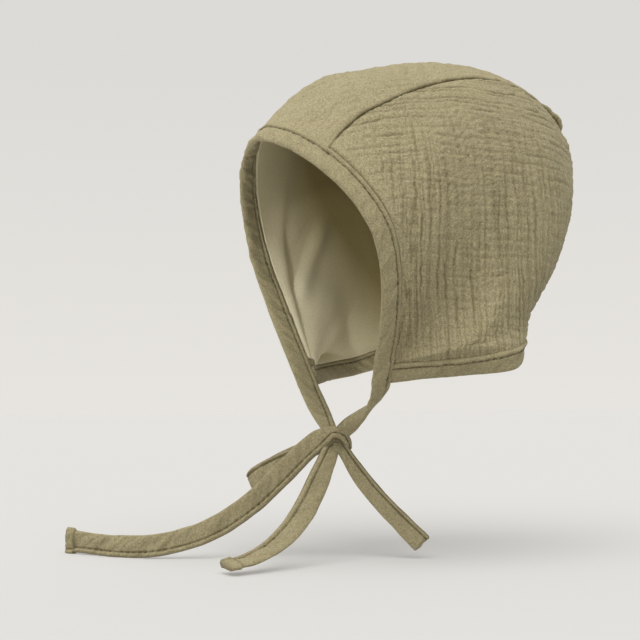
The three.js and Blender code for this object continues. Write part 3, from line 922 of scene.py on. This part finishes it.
def strapSections(path, seed, look=None):
    # path: points, axis (towards the plain edge), face, wide and thick at each station.
    # The stitched edge lies against the axis. Returns sections, cloth coordinates and shade.
    s = dict(strapShape, **(look or {}))
    points, wide, thick = path["points"], path["wide"][:, None], path["thick"][:, None]
    count = s["sectionPoints"]
    side = np.cos(np.linspace(0, math.pi, count))
    t = np.concatenate([side, side[::-1][1:-1]])
    top = np.concatenate([np.ones(count), -np.ones(count - 2)])
    run = runOf(points)[:, None]
    turnedIn = run[-1] - s["hem"]
    hem = ease(run, turnedIn - 0.1, turnedIn + 0.5) * (s["hem"] > 0)
    wide, thick = wide * (1 + s["hemWide"] * hem), thick * (1 + s["hemThick"] * hem)
    fromEdge = (1 - t)[None, :] / 2 * wide
    crown = crownAt(t)
    level = top * crown * thick / 2
    # a tie gathered into the knot shows no stitch line there
    sewn = ease(run, s["plainStart"] - 5, s["plainStart"] + 5) if s["plainStart"] > 0 else 1.0
    groove = bump(fromEdge, s["stitchIn"], s["grooveWide"]) * sewn
    ridge = bump(fromEdge, s["stitchIn"] * 0.48, s["stitchIn"] * 0.36) * sewn
    slant = run + fromEdge * 0.9
    rough = drift(slant / 3.1, fromEdge / 5, seed) + 0.6 * drift(slant / 1.5, fromEdge / 3, seed + 1)
    pinch = 0.75 + 0.35 * np.sin(run * 2 * math.pi / 3.0)
    relief = s["ridgeHigh"] * ridge - s["grooveDeep"] * groove * pinch + s["pucker"] * rough * crown
    diagonal = drift((run + 1.2 * fromEdge) / 4.8, fromEdge / 14 + run / 60, seed + 2)
    relief += s["diagonal"] * diagonal * crown
    hemLine = bump(run, turnedIn, 0.55) * (s["hem"] > 0)
    relief -= 0.35 * hemLine
    height = level + top * relief * np.clip(crown * 1.6, 0, 1)
    sideways = -t[None, :] * wide / 2
    edgeWave = s["edgeWave"] * drift(run / 6, np.sign(t)[None, :] * 3.7, seed + 3)
    sideways = sideways + np.sign(sideways) * edgeWave * (np.abs(t) > 0.5)
    sections = (points[:, None, :] + path["axis"][:, None, :] * sideways[..., None]
                + path["face"][:, None, :] * height[..., None])
    # painted shade: a dark line along the stitched edge where the strap meets the panel, the stitch groove's
    # dents, the pucker hollows and the hem's fold
    shade = (s["lineShade"] * bump(fromEdge, 0, 0.3) + s["lineShade"] * groove * (0.6 + 0.4 * pinch)
             + 0.12 * np.clip(-rough, 0, 1) + s["hemShade"] * hemLine)
    shade = np.clip(shade, 0, 1)
    uv = np.stack([run + 0 * fromEdge, fromEdge * top + 40], axis=-1) / 100
    return sections, uv, shade


def framed(points, axis):
    # unit tangent, axis squared to it, and the face's normal
    along = unit(np.gradient(points, axis=0))
    axis = unit(axis - along * dot(axis, along))
    return along, axis, unit(np.cross(along, axis))


def resampled(path, step):
    # the same path at even steps
    points = path["points"]
    run = runOf(points)
    even = np.linspace(0, run[-1], max(int(run[-1] / step), 4) + 1)
    out = {}
    for key, value in path.items():
        if value.ndim == 1:
            out[key] = np.interp(even, run, value)
        else:
            out[key] = np.stack([np.interp(even, run, value[:, k]) for k in range(3)], axis=-1)
    out["axis"] = unit(out["axis"])
    return out


def strapPiece(name, path, seed, nodes, look=None):
    # the piece, which replaces the nodes, and its path in even steps
    path = resampled(path, strapShape["step"])
    path["axis"], path["face"] = framed(path["points"], path["axis"])[1:]
    sections, uv, shade = strapSections(path, seed, look)
    made = stripMesh(name, sections, uv, shade, materials["binding"])
    return finishPiece(made, "binding", *nodes), path


bands = {
    "faceWidth": 10.2,
    "neckWidth": 9.5,
    "thick": 3.3,
    "faceDrop": 9.5,
    "meet": -1.4,
}

bow = {
    "knotDrop": 33.0,
    "knotForward": 8.0,
    "knotSize": (11.5, 12.5, 10.0),
    "tieWidth": 10.0,
    "tieThick": 2.4,
    "tailLong": 137.0,
    "tailShort": 84.0,
    "loopLeft": 54.0,
    "loopRight": 45.0,
    "layer": 1.2,
    "slit": 0.7,
    "loopHeading": -139.0,
    "loopDip": 25.0,
    "loopTilt": 108.0,
}

knotMiddle = np.array([
    0.0, -canopy["jawForward"] - bow["knotForward"], -canopy["jawDrop"] - bow["knotDrop"]])


def fromKnot(x, y, z):
    return knotMiddle + np.array([x, y, z]) * bow["knotSize"]


def strapPath(points, axis, wide, thick):
    # axis, wide and thick may be one value for all points
    every = np.ones(len(points))
    return {"points": points, "axis": axis * every[:, None], "wide": wide * every, "thick": thick * every}


def bandMiddle(f, wide):
    return f["points"] + f["out"] * wide / 2 - f["up"] * canopy["wall"] / 2


def bandPath(edge, q, wide):
    f = edgeFrames(edge, q)
    return strapPath(bandMiddle(f, wide), f["out"], wide, bands["thick"])


# twist in degrees, width and thickness as shares of the tie's, from the band's end to the knot
tieRows = {
    1: {
        "twist": (0, -8, -34, -82, -122, -140),
        "wide": (0.98, 0.86, 0.70, 0.64, 0.76, 0.74),
    },
    -1: {
        "twist": (0, 0, 4, 8, 10, 10),
        "wide": (0.98, 0.98, 0.94, 0.86, 0.72, 0.55),
    },
}
tieThickRow = (1.3, 1.2, 1.2, 1.2, 1.2, 1.2)


def bezier(a, b, c, d, t):
    t = t[:, None]
    return a * (1 - t) ** 3 + 3 * b * t * (1 - t) ** 2 + 3 * c * t**2 * (1 - t) + d * t**3


def tiePath(side):
    long = edgeFrames(0, [0.5])["length"]
    share = -bands["faceDrop"] / long
    f = edgeFrames(0, [share])
    flip = np.array([side, 1, 1])
    start = bandMiddle(f, bands["faceWidth"])[0] * flip
    along, out = f["along"][0] * flip, f["out"][0] * flip
    end = fromKnot(side * 0.34, 0.07, 0.2)
    lead = np.linalg.norm(end - start) / 3
    t = np.linspace(0, 1, 60)
    points = bezier(start, start - along * lead, end + (start - end) * 0.3, end, t)
    tangent = unit(np.gradient(points, axis=0))
    twist = np.radians(follow(tieRows[side]["twist"], t))
    axis = np.array([turned(out[None, :], tangent[i:i + 1], twist[i])[0] for i in range(len(t))])
    wide, thick = follow(tieRows[side]["wide"], t), follow(tieThickRow, t)
    return strapPath(points, axis, bow["tieWidth"] * wide, bow["tieThick"] * thick)


def joined(*paths):
    return {key: np.concatenate([p[key] for p in paths]) for key in paths[0]}


def backwards(path):
    return {key: value[::-1] for key, value in path.items()}


def facePath():
    long = edgeFrames(0, [0.5])["length"]
    low = -bands["faceDrop"] / long * 0.9
    q = np.linspace(low, 2 - low, 420)
    return joined(backwards(tiePath(1)), bandPath(0, q, bands["faceWidth"]), tiePath(-1))


faceStrip, facePathEven = strapPiece("faceStrip", facePath(), 101, ("face_binding", "tie_left", "tie_right"),
                                      {"plainStart": 30.0, "pucker": 0.40})
neckLong = edgeFrames(1, [0.5])["length"]
neckQ = np.linspace(bands["meet"] / neckLong, 2 - bands["meet"] / neckLong, 300)
neckStrip, neckPathEven = strapPiece("neckStrip", bandPath(1, neckQ, bands["neckWidth"]), 131,
                                      ("neck_binding",), {"pucker": 0.50})
print("bindings and ties made")

# Bow

# flip -1 puts the stitched edge on the other side
walks = {
    "tailLong": {
        "start": (-0.1, -0.64, -0.08), "flip": 1, "thick": bow["tieThick"],
        "heading": (-125, -126, -125, -122, -120, -128, -144, -153, -155),
        "dip": (38, 45, 43, 34, 21, 10, 1, -2, -1),
        "wide": (0.94, 1, 1, 1, 1, 1, 1, 0.96, 1.04),
    },
    "tailShort": {
        "start": (0.15, -0.26, -0.47), "flip": -1, "thick": bow["tieThick"],
        "heading": (-66, -62, -60, -66, -73, -82, -92),
        "dip": (56, 49, 43, 36, 27, 17, 4),
        "turn": (40, 45, 49, 58, 67, 76, 84),
        "wide": (0.78, 0.96, 1.0, 1, 1, 0.96, 0.96),
    },
    "loopLeft": {
        "start": (0.24, 0.2, -0.46), "flip": -1, "thick": bow["layer"],
        "heading": (62, 55, 54, 55, 54),
        "dip": (60, 55, 48, 45, 46),
        "wide": (0.54, 0.72, 0.80, 0.84, 0.90),
    },
}


def strapAxes(heading, dip):
    h, d = np.radians(heading), np.radians(dip)
    way = np.stack([np.cos(h) * np.cos(d), np.sin(h) * np.cos(d), -np.sin(d)], axis=-1)
    upright = np.stack([np.cos(h) * np.sin(d), np.sin(h) * np.sin(d), np.cos(d)], axis=-1)
    return way, upright, np.cross(way, upright)


def walked(name, count=90):
    rows = walks[name]
    t = np.linspace(0, 1, count + 1)
    way, upright, level = strapAxes(follow(rows["heading"], t), follow(rows["dip"], t))
    steps = way[1:] * bow[name] / count
    points = fromKnot(*rows["start"]) + np.concatenate([[np.zeros(3)], np.cumsum(steps, axis=0)])
    turn = np.radians(follow(rows.get("turn", (0, 0)), t))[:, None]
    axis = rows["flip"] * (upright * np.cos(turn) + level * np.sin(turn))
    return strapPath(points, axis, bow["tieWidth"] * follow(rows["wide"], t), rows["thick"])


def seenFrom(right, up, toward):
    # a place near the knot, in mm to the right, up and towards the camera
    back = np.array(aim(cameraView["azimuth"], cameraView["elevation"]))
    across = unit(np.array([-back[1], back[0], 0.0]))
    return across * right + np.cross(back, across) * up + back * toward


# ways into the knot: right, up and toward, the axis in the same directions, and the width
leads = {
    "tailLong": (
        (5.6, -4.8, -1.4, 0.90, 0.30, -0.30, 4.4),
        (5.3, -1.2, 2.7, 0.80, 0.45, -0.50, 4.8),
        (3.0, 1.9, 4.7, 0.45, 0.75, -0.55, 5.2),
        (-0.9, 3.1, 5.3, -0.10, 0.85, -0.50, 6.2),
        (-4.4, 1.5, 4.7, -0.40, 0.88, -0.25, 8.0),
    ),
    "tailShort": (
        (2.6, 1.4, 0.2, 0, 0, 0, 5.0),
        (1.2, -1.6, 2.0, 0, 0, 0, 6.4),
    ),
    "loopLeft": (
        (0.8, 1.4, -2.0, 0, 0, 0, 4.0),
        (2.4, -1.6, 0.0, 0, 0, 0, 4.6),
    ),
}


def led(name):
    # a walk with its way into the knot before it; a row without an axis takes the walk's first one
    path, rows = walked(name), []
    for row in leads[name]:
        axis = seenFrom(*row[3:6]) if any(row[3:6]) else path["axis"][0]
        rows.append(np.concatenate([knotMiddle + seenFrom(*row[:3]), axis, [row[6]]]))
    rows.append(np.concatenate([path["points"][0], path["axis"][0], [path["wide"][0]]]))
    t = np.linspace(0, 1, 40)[:-1]
    smooth = np.stack([follow(column, t) for column in np.array(rows).T], axis=-1)
    return joined(strapPath(smooth[:, :3], unit(smooth[:, 3:6]), smooth[:, 6], path["thick"][0]), path)


def foldedLoop():
    out = led("loopLeft")
    along, axis, face = framed(out["points"], out["axis"])
    apart = 0.35 + 0.65 * ease(np.linspace(0, 1, len(face)), 0, 0.3)
    apart = (bow["layer"] + bow["slit"]) / 2 * apart[:, None]
    there = dict(out, points=out["points"] + face * apart, axis=axis)
    back = dict(out, points=out["points"] - face * apart, axis=axis)
    turn = np.radians(np.linspace(90, -90, 9)[1:-1])[:, None]
    tip = out["points"][-1] + along[-1] * np.cos(turn) * apart[-1] + face[-1] * np.sin(turn) * apart[-1]
    return joined(there, strapPath(tip, axis[-1], out["wide"][-1], bow["layer"]), backwards(back))


# the open loop in its own directions from the knot, as shares of its length
openLoop = {
    "out": (0.06, 0.40, 0.65, 0.87, 1.00, 0.93, 0.74, 0.48, 0.27, 0.08),
    "lift": (0.01, 0.02, 0.02, 0.00, -0.01, -0.01, 0.00, 0.00, -0.01, -0.02),
    "side": (-0.08, -0.08, -0.09, -0.08, -0.02, 0.05, 0.06, 0.05, 0.03, 0.00),
    "wide": (0.55, 0.9, 1.04, 1.02, 0.66, 0.92, 1, 0.9, 0.7, 0.5),
}


def openLoopPath():
    way, upright, level = strapAxes(bow["loopHeading"], bow["loopDip"])
    tilt = math.radians(bow["loopTilt"])
    axis = level * math.cos(tilt) - upright * math.sin(tilt)
    t = np.linspace(0, 1, 120)
    size = bow["loopRight"]
    points = (knotMiddle + way * follow(openLoop["out"], t)[:, None] * size
              + upright * follow(openLoop["lift"], t)[:, None] * size
              - level * follow(openLoop["side"], t)[:, None] * size)
    return strapPath(points, axis, bow["tieWidth"] * follow(openLoop["wide"], t), bow["layer"])


tailLongPath = strapPiece("tailLong", led("tailLong"), 151, ("tail_long",), {"hem": 5.0, "pucker": 0.50})[1]
tailShortPath = strapPiece("tailShort", led("tailShort"), 161, ("tail_short",), {"hem": 5.0})[1]
loopLeftPath = strapPiece("loopLeft", foldedLoop(), 171, ("loop_left",), {"stitchIn": 1.8})[1]
loopRightPath = strapPiece("loopRight", openLoopPath(), 181, ("loop_right",), {"stitchIn": 2.0})[1]
print("loops and tails made")

# Knot: a lump of strap wound over and round the crossing ties

# nodes, tilt about X and Z in degrees, half sizes, width, thickness and seed of each winding
windings = {
    "knotWrap0": (("bow_knot",), 18, -8, (3.4, 3.0), 6.0, 1.7, 191),
    "knotWrap1": ((), -62, 20, (3.0, 2.8), 5.0, 1.6, 195),
}

knotCentre = knotMiddle + seenFrom(-0.4, -0.8, -0.8)
for name, (nodes, tiltX, tiltZ, half, wide, thick, seed) in windings.items():
    t = np.linspace(0, 2 * math.pi, 81)
    ring = np.stack([np.cos(t) * half[0], 0 * t, np.sin(t) * half[1]], axis=-1)
    axis = np.array([[0.0, 1.0, 0.0]])
    for about, angle in (((1.0, 0, 0), tiltX), ((0, 0, 1.0), tiltZ)):
        ring, axis = (turned(v, np.array([about]), math.radians(angle)) for v in (ring, axis))
    strapPiece(name, strapPath(ring + knotCentre, axis[0], wide, thick), seed, nodes)
print("knot made")

# Topstitching: one dash of thread repeated along the stitch lines of both faces

stitching = {
    "Every": 2.9,
    "Length": 2.0,
    "Thickness": 0.6,
    "Uneven": 0.14,
    "sink": 0.12,
}


def stitchNodes():
    tree = bpy.data.node_groups.new("dashedStitch", "GeometryNodeTree")
    face = tree.interface
    face.new_socket(name="Geometry", in_out="INPUT", socket_type="NodeSocketGeometry")
    keys = {}
    for label in ("Every", "Length", "Thickness", "Uneven", "Thread"):
        kind = "NodeSocketMaterial" if label == "Thread" else "NodeSocketFloat"
        keys[label] = face.new_socket(name=label, in_out="INPUT", socket_type=kind).identifier
    face.new_socket(name="Geometry", in_out="OUTPUT", socket_type="NodeSocketGeometry")
    given, result = addNode(tree, "NodeGroupInput"), addNode(tree, "NodeGroupOutput")
    curve = addNode(tree, "GeometryNodeMeshToCurve")
    points = addNode(tree, "GeometryNodeCurveToPoints", {"mode": "LENGTH"})
    dash = addNode(tree, "GeometryNodeMeshUVSphere", None, {"Segments": 6, "Rings": 6, "Radius": 0.5})
    smooth = addNode(tree, "GeometryNodeSetShadeSmooth")
    size = addNode(tree, "ShaderNodeCombineXYZ")
    vary = addNode(tree, "FunctionNodeRandomValue", {"data_type": "FLOAT"}, {"Seed": 5})
    less = addNode(tree, "ShaderNodeMath", {"operation": "SUBTRACT"}, {0: 1.0})
    long = addNode(tree, "ShaderNodeMath", {"operation": "MULTIPLY"})
    align = addNode(tree, "FunctionNodeAlignRotationToVector", {"axis": "Z"})
    place = addNode(tree, "GeometryNodeInstanceOnPoints")
    real = addNode(tree, "GeometryNodeRealizeInstances")
    paint = addNode(tree, "GeometryNodeSetMaterial")
    wire = wired(tree)
    for link in (
        (given, "Geometry", curve, "Mesh"),
        (curve, "Curve", points, "Curve"),
        (given, "Every", points, "Length"),
        (points, "Points", place, "Points"),
        (dash, "Mesh", smooth, "Geometry"),
        (smooth, "Geometry", place, "Instance"),
        (points, "Tangent", align, "Vector"),
        (align, "Rotation", place, "Rotation"),
        (given, "Uneven", less, 1),
        (less, 0, vary, "Min"),
        (given, "Length", long, 0),
        (vary, "Value", long, 1),
        (given, "Thickness", size, "X"),
        (given, "Thickness", size, "Y"),
        (long, 0, size, "Z"),
        (size, 0, place, "Scale"),
        (place, "Instances", real, "Geometry"),
        (real, "Geometry", paint, "Geometry"),
        (given, "Thread", paint, "Material"),
        (paint, "Geometry", result, "Geometry"),
    ):
        wire(*link)
    return tree, keys


stitchTree, stitchKeys = stitchNodes()


def stitchLines(path, trimStart=0.0, trimEnd=0.0, stitchIn=strapShape["stitchIn"]):
    wide, thick = path["wide"], path["thick"]
    run = runOf(path["points"])
    within = (run >= trimStart) & (run <= run[-1] - trimEnd)
    t = 1 - 2 * stitchIn / wide
    high = crownAt(t) * thick / 2 - strapShape["grooveDeep"] * 0.75 + stitching["sink"]
    line = path["points"] - path["axis"] * (t * wide / 2)[:, None]
    return [(line + path["face"] * (high * way)[:, None])[within] for way in (1, -1)]


def stitchPiece(name, lines):
    mesh = bpy.data.meshes.new(name + "Guide")
    edges, base = [], 0
    for line in lines:
        edges += [(base + i, base + i + 1) for i in range(len(line) - 1)]
        base += len(line)
    mesh.from_pydata((np.concatenate(lines) * mm).tolist(), edges, [])
    guide = addObject(name + "Guide", mesh)
    stitch = guide.modifiers.new("stitch", "NODES")
    stitch.node_group = stitchTree
    for label in ("Every", "Length", "Thickness"):
        stitch[stitchKeys[label]] = stitching[label] * mm
    stitch[stitchKeys["Uneven"]] = stitching["Uneven"]
    stitch[stitchKeys["Thread"]] = materials["thread"]
    bpy.context.view_layer.update()
    plain = bpy.data.meshes.new_from_object(guide.evaluated_get(bpy.context.evaluated_depsgraph_get()))
    guide.modifiers.remove(stitch)
    bpy.data.objects.remove(guide)
    return finishPiece(addObject(name, plain), "binding")


stitchPiece("stitchesFace", stitchLines(facePathEven, 32, 6))
stitchPiece("stitchesNeck", stitchLines(neckPathEven, 2, 2))
stitchPiece("stitchesBow", stitchLines(tailLongPath, 5, 6) + stitchLines(tailShortPath, 5, 6)
            + stitchLines(loopLeftPath, 6, 6, 1.8) + stitchLines(loopRightPath, 6, 6, 2.0))
print("stitches made")
